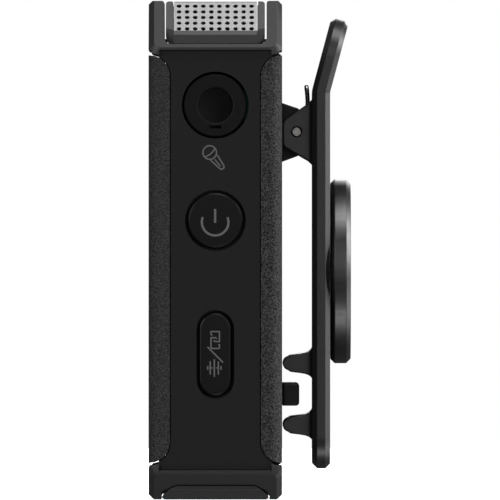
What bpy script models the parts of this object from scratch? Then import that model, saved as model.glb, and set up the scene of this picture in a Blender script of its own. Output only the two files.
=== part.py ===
"""Clip-on wireless lavalier microphone, built as separate named sub-parts.

The origin is the centre of the body's bottom face. +Z is up, -Y is the front, +Y is the back with the
clip, and +X is the side with the socket and two buttons. Sizes here are in millimetres, and place()
turns them into metres.
"""

from math import cos, pi, radians, sin

import bmesh
import bpy
from mathutils import Vector

MM = 0.001
GAP = 0.06                      # clearance between pieces that touch
SEAT = 0.004                    # where a piece is glued or screwed down tight

# Body
HALF_WIDTH = 14.3               # X, at the guards
HALF_DEPTH = 6.67               # Y, at the covers and the guards
HEIGHT = 49.84
WALL = 1.2
FRAME_HALF_WIDTH = 14.0
FRAME_HALF_DEPTH = 4.45
FRAME_LOW = 3.0
FRAME_HIGH = 44.84
POST = 5.7                      # where the guards' corner posts begin, from the middle
COVER_LOW = 3.66
COVER_HIGH = 44.36
COVER_HALF_WIDTH = 14.1
COVER_CORNER = 2.05
COVER_EDGE = 1.3
COVER_THICK = 1.35
TONGUE_INNER = 12.1             # ribs on the covers that close the seam from inside
TONGUE_OUTER = 12.72
TONGUE_REACH = 3.85

# Head
GUARD_LOW = 44.9
GUARD_SLOPE_LOW = 45.15         # where the 45 degree shoulders of the top begin
GUARD_FLOOR = 45.5
GUARD_CORNER = 0.7              # radius between the collar's floor and its arms
ARM_INNER = 5.13
ARM_BEVEL = 0.55
HEAD_HALF_WIDTH = 13.03
HEAD_HALF_DEPTH = 4.95
HEAD_LOW = GUARD_FLOOR + GAP
HEAD_SLOPE_LOW = 46.42
MESH_LOW = 46.84
HEAD_HIGH = 49.78
MESH_HALF_DEPTH = 4.15
MESH_THICK = 0.28
MESH_INSET = 0.1

# Base
BASE_HIGH = 2.94
BASE_SLOPE = 2.55
BLOCK_HIGH = 1.36
BLOCK_FACET = 0.95
BLOCK_HALF_WIDTH = 12.95

# Side controls
JACK_Z = 39.38
JACK_HOLE = 3.35
JACK_RING = 3.14
JACK_BORE = 1.87
POWER_Z = 27.87
POWER_RADIUS = 2.76
LINK_Z = 14.5
LINK_HALF_WIDTH = 1.6
LINK_HALF_HEIGHT = 4.15
REC_Z = 30.5
REC_RADIUS = 2.3
BUTTON_GROOVE = 0.28
BUTTON_FACE = 14.06
BUTTON_TRAVEL = 0.35
LIGHT_Z = 36.4
USB_Z = 11.0

# Clip
PIN_Y = 8.13
PIN_Z = 36.75
PIN_RADIUS = 0.47
LEVER_INNER = 9.68
LEVER_THICK = 1.8
LEVER_HALF_WIDTH = 9.3
LEVER_LOW = 3.04
LEVER_HIGH = 48.52              # length before the thumb end is bent
LEVER_BEND_Z = 40.55
LEVER_BEND_RADIUS = 3.0
LEVER_BEND_ANGLE = 15.0
TOOTH_TIP = 6.73
TOOTH_RADIUS = 0.72
TOOTH_HEIGHTS = (13.58, 7.42)
TOOTH_HALF_WIDTH = 7.6
FOOT_RADIUS = 0.4               # hollow curve at the feet of the teeth and ears
EAR_INNER = 6.2
EAR_OUTER = 7.6
LUG_OUTER = 6.1
LUG_INNER = 4.5
WIRE = 0.225
COIL_RADIUS = 0.84
COIL_TURNS = 3.5
LEG_Y = 7.69                    # where the spring's outer legs lie on the bracket
DISC_Z = 22.8
DISC_RADIUS = 9.25
DISC_LOW = 11.52
DISC_HIGH = 13.56

FINISHES = {                    # colour, metallic, roughness
    "frame": ((0.014, 0.014, 0.016), 0.0, 0.55),
    "guard": ((0.030, 0.030, 0.031), 0.0, 0.42),
    "head": ((0.040, 0.040, 0.041), 0.3, 0.40),
    "cover": ((0.030, 0.030, 0.031), 0.0, 0.75),
    "mesh": ((0.55, 0.54, 0.52), 1.0, 0.30),
    "foam": ((0.010, 0.010, 0.010), 0.0, 0.95),
    "rubber": ((0.012, 0.012, 0.012), 0.0, 0.80),
    "button": ((0.012, 0.012, 0.014), 0.0, 0.45),
    "black": ((0.008, 0.008, 0.009), 0.0, 0.50),
    "board": ((0.010, 0.085, 0.035), 0.0, 0.50),
    "steel": ((0.45, 0.44, 0.42), 1.0, 0.30),
    "gold": ((0.80, 0.58, 0.22), 1.0, 0.25),
    "cell": ((0.50, 0.51, 0.53), 0.6, 0.40),
    "lamp": ((0.75, 0.80, 0.78), 0.0, 0.30),
    "ceramic": ((0.62, 0.60, 0.55), 0.0, 0.60),
    "lever": ((0.032, 0.032, 0.032), 0.2, 0.38),
    "disc": ((0.060, 0.060, 0.060), 0.85, 0.34),
}


# Outlines, as lists of (u, v) points in millimetres

def arc(centre, radius, start, end, steps=6):
    """Points on an arc between two angles in degrees."""
    points = []
    for step in range(steps + 1):
        angle = radians(start + (end - start) * step / steps)
        points.append((centre[0] + radius * cos(angle), centre[1] + radius * sin(angle)))
    return points


def circle(centre, radius, sides=32):
    return arc(centre, radius, 0, 360 * (1 - 1 / sides), sides - 1)


def box(u_low, u_high, v_low, v_high, radii=(0, 0, 0, 0), steps=4):
    """A rectangle whose corners are rounded by radii, from the low-low corner anticlockwise."""
    corners = (
        (u_low + radii[0], v_low + radii[0], 180),
        (u_high - radii[1], v_low + radii[1], 270),
        (u_high - radii[2], v_high - radii[2], 0),
        (u_low + radii[3], v_high - radii[3], 90),
    )
    points = []
    for (u, v, start), radius in zip(corners, radii):
        if radius:
            points += arc((u, v), radius, start, start + 90, steps)
        else:
            points.append((u, v))
    return points


def pill(centre, half_width, half_height):
    """An upright slot shape with round ends."""
    straight = half_height - half_width
    top = arc((centre[0], centre[1] + straight), half_width, 0, 180, 10)
    bottom = arc((centre[0], centre[1] - straight), half_width, 180, 360, 10)
    return top + bottom


def mirrored(points):
    """A half outline at u > 0, listed upwards, closed with its mirror image."""
    return points + [(-u, v) for u, v in reversed(points)]


def shrink(points, distance):
    """The outline moved inwards by a distance, corner by corner."""
    if not distance:
        return points
    count = len(points)
    area = sum(points[i - 1][0] * points[i][1] - points[i][0] * points[i - 1][1] for i in range(count))
    turn = 1 if area > 0 else -1
    moved = []
    for i in range(count):
        here = Vector(points[i])
        before = (here - Vector(points[i - 1])).normalized()
        after = (Vector(points[(i + 1) % count]) - here).normalized()
        inward = Vector((-before.y - after.y, before.x + after.x)) * turn
        moved.append(tuple(here + inward * distance / (1 + before.dot(after))))
    return moved


# Solids

def place(axis, height, u, v):
    """A point in metres, from its height along an axis and its outline position."""
    spots = {"X": (height, u, v), "Y": (u, height, v), "Z": (u, v, height)}
    return Vector(spots[axis]) * MM


def finish(name):
    """A new material with one of the named finishes."""
    colour, metallic, roughness = FINISHES[name]
    material = bpy.data.materials.new(name)
    material.use_nodes = True
    shader = material.node_tree.nodes["Principled BSDF"]
    shader.inputs["Base Color"].default_value = (*colour, 1.0)
    shader.inputs["Metallic"].default_value = metallic
    shader.inputs["Roughness"].default_value = roughness
    return material


def add(name, shape, look):
    """An object made from a bmesh, facing out and shaded smooth between sharp edges."""
    bmesh.ops.recalc_face_normals(shape, faces=shape.faces)
    mesh = bpy.data.meshes.new(name)
    shape.to_mesh(mesh)
    shape.free()
    mesh.shade_smooth()
    mesh.set_sharp_from_angle(angle=radians(35))
    item = bpy.data.objects.new(name, mesh)
    bpy.context.scene.collection.objects.link(item)
    if look:
        mesh.materials.append(finish(look))
    else:
        item.hide_render = True
        item.display_type = "WIRE"
    return item


def stack(axis, levels):
    """A closed solid through outlines of equal length, as (height, outline) levels."""
    shape = bmesh.new()
    rings = []
    for height, outline in levels:
        rings.append([shape.verts.new(place(axis, height, u, v)) for u, v in outline])
    for lower, upper in zip(rings, rings[1:]):
        for i in range(len(lower)):
            shape.faces.new((lower[i - 1], lower[i], upper[i], upper[i - 1]))
    shape.faces.new(rings[0])
    shape.faces.new(rings[-1])
    return shape


def bevelled(axis, outline, low, high, bevels):
    low_bevel, high_bevel = bevels
    levels = [(low, shrink(outline, low_bevel))]
    if low_bevel:
        levels.append((low + low_bevel, outline))
    if high_bevel:
        levels.append((high - high_bevel, outline))
    levels.append((high, shrink(outline, high_bevel)))
    return stack(axis, levels)


def slab(name, axis, outline, low, high, look, bevels=(0, 0)):
    """An outline extruded along an axis, with a 45 degree bevel at either end."""
    return add(name, bevelled(axis, outline, low, high, bevels), look)


def tube(name, axis, outer, inner, low, high, look, bevel=0):
    """A ring between two outlines of equal length."""
    shape = bmesh.new()
    profile = [
        (low, inner),
        (low, outer),
        (high - bevel, outer),
        (high, shrink(outer, bevel)),
        (high, inner),
    ]
    rings = [[shape.verts.new(place(axis, at, u, v)) for u, v in line] for at, line in profile]
    for k in range(len(rings)):
        first, second = rings[k - 1], rings[k]
        for i in range(len(first)):
            shape.faces.new((first[i - 1], first[i], second[i], second[i - 1]))
    bmesh.ops.remove_doubles(shape, verts=shape.verts, dist=1e-7)
    return add(name, shape, look)


def combine(item, operation, tools):
    """Boolean modifiers that cut, join or intersect an object with its tools."""
    for tool in tools:
        modifier = item.modifiers.new(tool.name, "BOOLEAN")
        modifier.operation = operation
        modifier.object = tool
    return item


def cutter(name, axis, outline, low, high, bevels=(0, 0)):
    return slab("tool_" + name, axis, outline, low, high, None, bevels)


def block(name, x, y, z, look, bevel=0.0):
    """A plain box between (low, high) pairs."""
    return slab(name, "Z", box(*x, *y), *z, look, (bevel, bevel))


# Shells of the body

def shoulders(half_width, low, slope_low, high):
    """The front view of the head: upright ends, 45 degree shoulders and a flat top."""
    top = half_width - (high - slope_low)
    return mirrored([(half_width, low), (half_width, slope_low), (top, high)])


def frame_side():
    """The mid-frame's side view, which flares out round the covers' corners."""
    reach = COVER_CORNER + 0.1
    middle = FRAME_HALF_DEPTH + reach
    low_arc = arc((middle, COVER_LOW + COVER_CORNER), reach, 245, 180, 5)
    high_arc = arc((middle, COVER_HIGH - COVER_CORNER), reach, 180, 115, 5)
    post = POST - GAP
    return mirrored([(post, FRAME_LOW)] + low_arc + high_arc + [(post, FRAME_HIGH)])


def make_mid_frame():
    frame = slab("mid_frame", "X", frame_side(), -FRAME_HALF_WIDTH, FRAME_HALF_WIDTH, "frame")
    inside = FRAME_HALF_WIDTH - WALL
    groove = BUTTON_GROOVE
    link_hole = pill((0, LINK_Z), LINK_HALF_WIDTH + groove, LINK_HALF_HEIGHT + groove)
    holes = [
        cutter("cavity", "Y", box(-inside, inside, 4.6, 43.2), -8, 8),
        cutter("capsule_hole", "Z", circle((0, 0), 3.8), 43, 46),
        cutter("jack_hole", "X", circle((0, JACK_Z), JACK_HOLE), 12, 15),
        cutter("power_hole", "X", circle((0, POWER_Z), POWER_RADIUS + groove), 12, 15),
        cutter("link_hole", "X", link_hole, 12, 15),
        cutter("rec_hole", "X", circle((0, REC_Z), REC_RADIUS + groove), -15, -12),
        cutter("light_hole", "X", circle((0, LIGHT_Z), 0.66, 16), -15, -12),
        cutter("usb_hole", "X", pill((0, USB_Z), 1.72, 4.56), -15, -12),
    ]
    combine(frame, "DIFFERENCE", holes)


def make_cover(name, side):
    """A cover with skirts that wrap round onto the sides; side is +1 for the back."""
    inner = FRAME_HALF_DEPTH + 0.1
    low_arc = arc((inner + COVER_CORNER, COVER_LOW + COVER_CORNER), COVER_CORNER, 180, 270, 6)
    high_arc = arc((inner + COVER_CORNER, COVER_HIGH - COVER_CORNER), COVER_CORNER, 90, 180, 6)
    side_view = low_arc + [(HALF_DEPTH, COVER_LOW), (HALF_DEPTH, COVER_HIGH)] + high_arc
    side_view = [(side * y, z) for y, z in side_view]
    cover = slab(name, "X", side_view, -COVER_HALF_WIDTH, COVER_HALF_WIDTH, "cover")
    edge = COVER_HALF_WIDTH - COVER_EDGE
    turn = arc((edge, HALF_DEPTH - COVER_EDGE), COVER_EDGE, 0, 90, 6)
    plan = mirrored([(COVER_HALF_WIDTH, 0)] + turn)
    plan = [(x, side * y) for x, y in plan]
    combine(cover, "INTERSECT", [cutter(name + "_plan", "Z", plan, 0, 50)])
    floor = side * (HALF_DEPTH - COVER_THICK)
    cavity = box(-12.9, 12.9, 4.8, 43.2, (1, 1, 1, 1))
    combine(cover, "DIFFERENCE", [cutter(name + "_cavity", "Y", cavity, *sorted((0, floor)))])
    tongues = []
    for end in (-1, 1):
        ends = sorted((end * TONGUE_INNER, end * TONGUE_OUTER))
        line = box(*ends, 5.0, 43.0)
        reach = sorted((side * TONGUE_REACH, floor + side * 0.3))
        tongues.append(cutter(f"{name}_tongue_{end}", "Y", line, *reach))
    combine(cover, "UNION", tongues)
    return cover


def make_covers():
    make_cover("front_cover", -1)
    back = make_cover("back_cover", 1)
    holes = []
    for end in (-1, 1):
        ends = sorted((end * (EAR_INNER - 0.15), end * (EAR_OUTER + 0.15)))
        pocket = box(*ends, PIN_Z - 2.2, PIN_Z + 2.9)
        holes.append(cutter(f"ear_pocket_{end}", "Y", pocket, HALF_DEPTH - 0.6, 9))
        holes.append(cutter(f"screw_way_{end}", "Y", circle((0, screw_z(end)), 0.6, 16), 4, 9))
    combine(back, "DIFFERENCE", holes)


def make_top_guard():
    """The collar round the head: a floor band and two arms that protect the mesh."""
    corner = GUARD_CORNER
    turn = arc((ARM_INNER - corner, GUARD_FLOOR + corner), corner, 0, -90, 4)
    outer = [
        (POST, GUARD_LOW),
        (POST, GUARD_LOW - 0.56),
        (HALF_DEPTH - 0.32, GUARD_LOW - 0.32),
        (HALF_DEPTH, GUARD_LOW - 0.04),
        (HALF_DEPTH, HEIGHT - 0.38),
        (HALF_DEPTH - 0.38, HEIGHT),
        (ARM_INNER + 0.15, HEIGHT),
        (ARM_INNER, HEIGHT - 0.15),
    ]
    guard = slab("top_guard", "X", mirrored(outer + turn), -HALF_WIDTH, HALF_WIDTH, "guard")
    front_view = shoulders(HALF_WIDTH, GUARD_LOW - 1, GUARD_SLOPE_LOW, HEIGHT)
    shell = cutter("guard_shell", "Y", front_view, -HALF_DEPTH, HALF_DEPTH, (ARM_BEVEL, ARM_BEVEL))
    combine(guard, "INTERSECT", [shell])
    combine(guard, "DIFFERENCE", [cutter("guard_way", "Z", box(-11.8, 11.8, -4, 4, (1, 1, 1, 1)), 44, 47)])


def make_head():
    front_view = shoulders(HEAD_HALF_WIDTH, HEAD_LOW, HEAD_SLOPE_LOW, HEAD_HIGH)
    head = slab("head_frame", "Y", front_view, -HEAD_HALF_DEPTH, HEAD_HALF_DEPTH, "head", (0.12, 0.12))
    corner = HEAD_HALF_WIDTH - (MESH_LOW - HEAD_SLOPE_LOW)
    plan = [(corner, -HEAD_HALF_DEPTH), (HEAD_HALF_WIDTH, -MESH_HALF_DEPTH)]
    plan += [(x, -y) for x, y in reversed(plan)]
    window = MESH_HALF_DEPTH + GAP
    way = box(-11.6, 11.6, -3.85, 3.85, (1, 1, 1, 1))
    side_view = box(-HEAD_HALF_DEPTH, HEAD_HALF_DEPTH, HEAD_LOW, 51, (GUARD_CORNER, GUARD_CORNER, 0, 0))
    combine(head, "INTERSECT", [
        cutter("head_side", "X", side_view, -14, 14),
        cutter("head_plan", "Z", mirrored(plan), 45, 51),
    ])
    combine(head, "DIFFERENCE", [
        cutter("head_window", "X", box(-window, window, MESH_LOW, 51), -14, 14),
        cutter("head_way", "Z", way, 45, 51),
    ])
    outer = shoulders(corner - MESH_INSET, MESH_LOW + GAP, MESH_LOW + GAP, HEAD_HIGH - 0.02)
    foot, top = outer[0], outer[2]
    sheet = [
        foot,
        top,
        (-top[0], top[1]),
        (-foot[0], foot[1]),
        (MESH_THICK * 1.414 - foot[0], foot[1]),
        (MESH_THICK * 0.414 - top[0], top[1] - MESH_THICK),
        (top[0] - MESH_THICK * 0.414, top[1] - MESH_THICK),
        (foot[0] - MESH_THICK * 1.414, foot[1]),
    ]
    slab("grille_mesh", "Y", sheet, -MESH_HALF_DEPTH, MESH_HALF_DEPTH, "mesh")
    foam_reach = corner - 0.8
    foam = shoulders(foam_reach, MESH_LOW + GAP, MESH_LOW + 0.2, 49.3)
    slab("wind_foam", "Y", foam, -3.8, 3.8, "foam")


def make_microphone():
    slab("mic_capsule", "Z", circle((0, 0), 3.0), 44.0, 46.7, "steel", (0.2, 0.2))
    tube("capsule_boot", "Z", circle((0, 0), 3.7), circle((0, 0), 3.08), 43.7, 46.6, "rubber")
    slab("mic_board", "Z", circle((0, 0), 2.9), 43.4, 43.9, "board")


def base_cutout(reach):
    """The opening in the guard's underside that the base block sits in, grown by reach."""
    return mirrored([
        (5.36 + reach, -1.0),
        (5.36 + reach, 0.28 + reach),
        (5.15 + reach, 0.55 + reach),
        (4.72 + reach, 0.95 + reach),
        (4.30 + reach, 1.22 + reach),
        (3.85 + reach, BLOCK_HIGH + reach),
    ])


def make_base():
    outer = [
        (5.7, 0.0),
        (6.14, 0.0),
        (HALF_DEPTH, 0.47),
        (HALF_DEPTH, BASE_HIGH + 0.3),
        (HALF_DEPTH - 0.32, BASE_HIGH + 0.6),
        (POST, BASE_HIGH + 0.84),
        (POST, BASE_HIGH),
    ]
    guard = slab("bottom_guard", "X", mirrored(outer), -HALF_WIDTH, HALF_WIDTH, "guard")
    foot = HALF_WIDTH - BASE_SLOPE
    front_view = mirrored([(foot, 0), (HALF_WIDTH, BASE_SLOPE), (HALF_WIDTH, 5)])
    shell = cutter("base_shell", "Y", front_view, -HALF_DEPTH, HALF_DEPTH, (0.5, 0.5))
    combine(guard, "INTERSECT", [shell])
    combine(guard, "DIFFERENCE", [cutter("base_cutout", "X", base_cutout(0.05), -16, 16)])

    side_view = mirrored([
        (5.1, 0.0),
        (5.36, 0.22),
        (5.15, 0.5),
        (4.72, 0.92),
        (4.30, 1.2),
        (3.85, BLOCK_HIGH),
    ])
    base = slab("base_block", "X", side_view, -HALF_WIDTH, HALF_WIDTH, "guard")
    flare = BLOCK_HALF_WIDTH + BLOCK_HIGH - BLOCK_FACET
    ends = [(BLOCK_HALF_WIDTH, -1), (BLOCK_HALF_WIDTH, BLOCK_FACET), (flare, BLOCK_HIGH), (flare, 3)]
    combine(base, "INTERSECT", [cutter("block_ends", "Y", mirrored(ends), -7, 7)])
    wells = []
    for number, x in enumerate((-6.0, -3.5, 3.5, 6.0), 1):
        wells.append(cutter(f"contact_well_{number}", "Z", circle((x, 0), 0.76, 20), -1, 0.8))
        slab(f"charge_contact_{number}", "Z", circle((x, 0), 0.7, 20), 0.05, 0.75, "gold", (0.1, 0))
    combine(base, "DIFFERENCE", wells)


# Electronics inside the body

def make_electronics():
    block("main_board", (-11.5, 11.5), (2.9, 3.7), (6.0, 42.4), "board")
    block("shield_can", (-8.0, 6.0), (1.45, 2.84), (17.0, 31.0), "steel", 0.2)
    block("battery_pad", (-7.0, 7.0), (0.26, 1.39), (18.0, 30.0), "foam")
    slab("battery", "Y", box(-9.2, 9.2, 15.9, 35.0, (1, 1, 1, 1)), -4.6, 0.2, "cell", (0.5, 0.5))
    block("antenna", (-10.0, -2.0), (3.76, 4.2), (38.0, 42.0), "ceramic")
    block("button_board", (9.7, 10.2), (-3.6, 2.8), (10.0, 32.0), "board")
    block("rec_board", (-10.2, -9.7), (-3.6, 2.8), (26.0, 38.0), "board")
    block("status_lamp", (-10.9, -10.26), (-0.5, 0.5), (LIGHT_Z - 0.5, LIGHT_Z + 0.5), "lamp")
    slab("light_guide", "X", circle((0, LIGHT_Z), 0.6, 16), -13.98, -11.0, "lamp")


def make_jack():
    housing = box(-2.6, 2.6, JACK_Z - 2.6, JACK_Z + 2.6, (1.3, 1.3, 1.3, 1.3))
    socket = slab("jack_socket", "X", housing, 3.6, 12.5, "black")
    combine(socket, "DIFFERENCE", [cutter("jack_bore", "X", circle((0, JACK_Z), 1.8), 5, 14)])
    outer = circle((0, JACK_Z), JACK_RING)
    inner = circle((0, JACK_Z), JACK_BORE)
    collar = tube("jack_collar", "X", outer, inner, 12.56, 13.95, "black", 0.12)
    key_slot = box(-0.58, 0.58, JACK_Z - 2.34, JACK_Z - 2.03)
    combine(collar, "DIFFERENCE", [cutter("key_slot", "X", key_slot, 12.8, 15)])
    for number, x in enumerate((4.6, 7.4, 10.2), 1):
        block(f"jack_contact_{number}", (x, x + 0.8), (2.64, 2.86), (JACK_Z - 0.6, JACK_Z + 0.6), "gold")


def make_usb():
    outer = pill((0, USB_Z), 1.63, 4.47)
    inner = pill((0, USB_Z), 1.33, 4.17)
    tube("usb_shell", "X", outer, inner, -13.9, -6.9, "steel")
    blade = box(-0.35, 0.35, USB_Z - 3.35, USB_Z + 3.35)
    tongue = slab("usb_tongue", "X", blade, -13.2, -8.0, "black", (0.15, 0))
    root = slab("tool_usb_root", "X", pill((0, USB_Z), 1.27, 4.11), -8.6, -7.0, None)
    combine(tongue, "UNION", [root])


# Buttons

def make_button(name, side, face, flange, z, look):
    """A button held behind the wall by its flange, with its plunger and its switch."""
    wall = FRAME_HALF_WIDTH - WALL
    levels = [
        (wall - 0.75, flange),
        (wall - 0.05, flange),
        (wall - 0.05, face),
        (BUTTON_FACE - 0.14, face),
        (BUTTON_FACE, shrink(face, 0.14)),
    ]
    add(name + "_button", stack("X", [(side * x, outline) for x, outline in levels]), look)
    ends = sorted((side * 10.95, side * 11.99))
    slab(name + "_plunger", "X", circle((0, z), 0.7, 16), *ends, "steel")
    ends = sorted((side * 10.26, side * 11.5))
    switch = slab(name + "_switch", "X", box(-1.5, 1.5, z - 1.5, z + 1.5), *ends, "black")
    ends = sorted((side * 10.5, side * 12.5))
    combine(switch, "DIFFERENCE", [cutter(name + "_switch_bore", "X", circle((0, z), 0.85, 16), *ends)])


def make_buttons():
    make_button("power", 1, circle((0, POWER_Z), POWER_RADIUS), circle((0, POWER_Z), 3.3), POWER_Z, "button")
    face = pill((0, LINK_Z), LINK_HALF_WIDTH, LINK_HALF_HEIGHT)
    flange = pill((0, LINK_Z), LINK_HALF_WIDTH + 0.5, LINK_HALF_HEIGHT + 0.5)
    make_button("link", 1, face, flange, LINK_Z, "button")
    make_button("rec", -1, circle((0, REC_Z), REC_RADIUS), circle((0, REC_Z), 2.8), REC_Z, "button")


# Clip

def screw_z(end):
    """Height of the bracket's upper (+1) or lower (-1) screw."""
    return PIN_Z + end * 1.85


def make_bracket():
    face = HALF_DEPTH + SEAT
    outline = [
        (face, 39.65),
        (8.3, 39.1),
        (9.15, 37.9),
        (9.15, 35.6),
        (8.3, 34.38),
        (face, 33.78),
    ]
    bracket = slab("clip_bracket", "X", outline, -LUG_OUTER, LUG_OUTER, "black", (0.1, 0.1))
    holes = [
        cutter("bracket_middle", "Y", box(-LUG_INNER, LUG_INNER, 33, 40.5), 7.4, 10),
        cutter("bracket_channel", "X", circle((PIN_Y, PIN_Z), 1.18), -LUG_INNER, LUG_INNER),
        cutter("bracket_bore", "X", circle((PIN_Y, PIN_Z), PIN_RADIUS + 0.03), -8, 8),
    ]
    for end in (-1, 1):
        spot = (0, screw_z(end))
        holes.append(cutter(f"bracket_screw_hole_{end}", "Y", circle(spot, 0.6, 16), 6, 8))
    combine(bracket, "DIFFERENCE", holes)

    plate = block("backing_plate", (-5, 5), (4.75, 5.25), (33.0, 41.0), "steel")
    for number, end in enumerate((-1, 1), 1):
        spot = (0, screw_z(end))
        way = cutter(f"plate_hole_{end}", "Y", circle(spot, 0.6, 16), 4, 6)
        combine(plate, "DIFFERENCE", [way])
        levels = [
            (4.4, circle(spot, 0.5, 16)),
            (7.45, circle(spot, 0.5, 16)),
            (7.45, circle(spot, 0.8, 16)),
            (7.8, circle(spot, 0.7, 16)),
        ]
        add(f"bracket_screw_{number}", stack("Y", levels), "steel")


def make_grip_block():
    shape = box(HALF_DEPTH + SEAT, 8.39, 9.33, 11.63, (0, 0.35, 0.35, 0))
    slab("grip_block", "X", shape, -8, 8, "black", (0.2, 0.2))


def tooth(z):
    """A tooth's side view: a tapered ridge with a round tip, rooted in the lever."""
    upper = [
        (10.2, z + 1.66),
        (9.7, z + 1.6),
        (9.58, z + 1.4),
        (9.36, z + 1.21),
        (9.0, z + 1.07),
        (8.46, z + 0.98),
        (7.5, z + 0.86),
    ]
    tip = arc((TOOTH_TIP + TOOTH_RADIUS, z), TOOTH_RADIUS, 105, 255, 10)
    return upper + tip + [(y, 2 * z - height) for y, height in reversed(upper)]


def ear():
    """A hinge ear's side view, with a fillet where it meets the lever."""
    root_high = [(10.3, 40.3), (9.66, 40.0), (9.3, 39.62)]
    root_low = [(9.3, 33.85), (9.66, 33.5), (10.3, 33.2)]
    upper = arc((7.5, 37.45), 0.75, 118, 180, 6)
    lower = arc((7.5, 35.75), 0.75, 180, 244, 6)
    return root_high + upper + lower + root_low


def rib(name, outline, x_low, x_high, bevel, feet):
    """A rib across the lever and the hollow curves at its feet, given as (side, x) pairs."""
    solids = [cutter(name, "X", outline, x_low, x_high, (bevel, bevel))]
    root = [(y, z) for y, z in shrink(outline, bevel) if y > LEVER_INNER - 2 * FOOT_RADIUS]
    for side, x in feet:
        levels = [(x - side * 0.3, 0.0), (x, 0.0)]
        for step in range(1, 6):
            angle = radians(18 * step)
            levels.append((x + side * FOOT_RADIUS * (1 - cos(angle)), FOOT_RADIUS * sin(angle)))
        low = LEVER_INNER + 0.03 - FOOT_RADIUS
        rings = [(at, [(max(y, low + rise), z) for y, z in root]) for at, rise in levels]
        solids.append(add(f"tool_{name}_foot_{side}", stack("X", rings), None))
    return solids


def bend_thumb_end(shape):
    """Bends the lever's upper end outwards round a small radius."""
    turn = radians(LEVER_BEND_ANGLE)
    length = LEVER_BEND_RADIUS * turn
    steps = 4
    for step in range(steps + 1):
        height = LEVER_BEND_Z + length * step / steps
        everything = shape.verts[:] + shape.edges[:] + shape.faces[:]
        bmesh.ops.bisect_plane(shape, geom=everything, plane_co=(0, 0, height * MM), plane_no=(0, 0, 1))
    for vert in shape.verts:
        along = vert.co.z / MM - LEVER_BEND_Z
        if along <= 0:
            continue
        angle = min(along / LEVER_BEND_RADIUS, turn)
        rest = max(0.0, along - length)
        reach = LEVER_BEND_RADIUS - (vert.co.y / MM - LEVER_INNER)
        vert.co.y = (LEVER_INNER + LEVER_BEND_RADIUS - reach * cos(angle) + rest * sin(angle)) * MM
        vert.co.z = (LEVER_BEND_Z + reach * sin(angle) + rest * cos(angle)) * MM


def make_lever():
    half = LEVER_HALF_WIDTH
    outline = box(-half, half, LEVER_LOW, LEVER_HIGH, (3.2, 3.2, 4.0, 4.0), 6)
    shape = bevelled("Y", outline, LEVER_INNER, LEVER_INNER + LEVER_THICK, (0.5, 0.48))
    bend_thumb_end(shape)
    lever = add("clip_lever", shape, "lever")
    recess_floor = LEVER_INNER + LEVER_THICK - 0.45
    recess = cutter("lever_recess", "Y", circle((0, DISC_Z), DISC_RADIUS, 64), recess_floor, 13)
    combine(lever, "DIFFERENCE", [recess])
    ribs = []
    for number, z in enumerate(TOOTH_HEIGHTS):
        half = TOOTH_HALF_WIDTH
        ribs += rib(f"tooth_{number}", tooth(z), -half, half, 0.15, [(-1, -half), (1, half)])
    for end in (-1, 1):
        ends = sorted((end * EAR_INNER, end * EAR_OUTER))
        ribs += rib(f"ear_{end}", ear(), *ends, 0.12, [(end, end * EAR_OUTER)])
    combine(lever, "UNION", ribs)
    bore = cutter("ear_bore", "X", circle((PIN_Y, PIN_Z), PIN_RADIUS + 0.11), -9, 9)
    combine(lever, "DIFFERENCE", [bore])
    slab("lever_steel", "Y", circle((0, DISC_Z), 8.7, 48), recess_floor + GAP, 11.46, "steel")


def make_magnet():
    spot = (0, DISC_Z)
    cap = slab("magnet_cap", "Y", circle(spot, DISC_RADIUS, 64), DISC_LOW, DISC_HIGH, "disc", (0.43, 0.45))
    combine(cap, "DIFFERENCE", [cutter("magnet_well", "Y", circle(spot, 8.1, 48), 11, 12.95)])
    slab("magnet_back", "Y", circle(spot, 8.0, 48), 11.56, 11.95, "steel")
    slab("magnet", "Y", circle(spot, 7.9, 48), 12.0, 12.9, "steel", (0.1, 0.1))


def spring_path():
    """Centre line of the double torsion spring, from one outer leg to the other."""
    outer, inner = 3.9, 1.7
    half = []
    for rise in (1.9, 1.4, 0.95):
        half.append((outer, LEG_Y, PIN_Z + rise))
    steps = round(COIL_TURNS * 12)
    for step in range(steps + 1):
        angle = pi + 2 * pi * COIL_TURNS * step / steps
        x = outer + (inner - outer) * step / steps
        half.append((x, PIN_Y + COIL_RADIUS * cos(angle), PIN_Z + COIL_RADIUS * sin(angle)))
    for height in (37.6, 38.6, 39.6, 40.6, 41.0):
        half.append((inner, PIN_Y + COIL_RADIUS + 0.02 * (height - PIN_Z), height))
    for x, height in ((inner - 0.12, 41.22), (inner - 0.4, 41.3), (0.4, 41.3)):
        half.append((x, PIN_Y + COIL_RADIUS + 0.1, height))
    return half + [(-x, y, z) for x, y, z in reversed(half)]


def make_pin_and_spring():
    end = EAR_OUTER - 0.05
    slab("hinge_pin", "X", circle((PIN_Y, PIN_Z), PIN_RADIUS, 24), -end, end, "steel", (0.08, 0.08))
    curve = bpy.data.curves.new("clip_spring", "CURVE")
    curve.dimensions = "3D"
    curve.bevel_depth = WIRE * MM
    curve.bevel_resolution = 2
    curve.use_fill_caps = True
    points = spring_path()
    spline = curve.splines.new("POLY")
    spline.points.add(len(points) - 1)
    for spot, (x, y, z) in zip(spline.points, points):
        spot.co = (x * MM, y * MM, z * MM, 1)
    curve.materials.append(finish("steel"))
    bpy.context.scene.collection.objects.link(bpy.data.objects.new("clip_spring", curve))


def main():
    for item in list(bpy.data.objects):
        bpy.data.objects.remove(item)
    make_mid_frame()
    make_covers()
    make_top_guard()
    make_head()
    make_microphone()
    make_base()
    make_electronics()
    make_jack()
    make_usb()
    make_buttons()
    make_bracket()
    make_grip_block()
    make_lever()
    make_magnet()
    make_pin_and_spring()


main()
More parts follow.
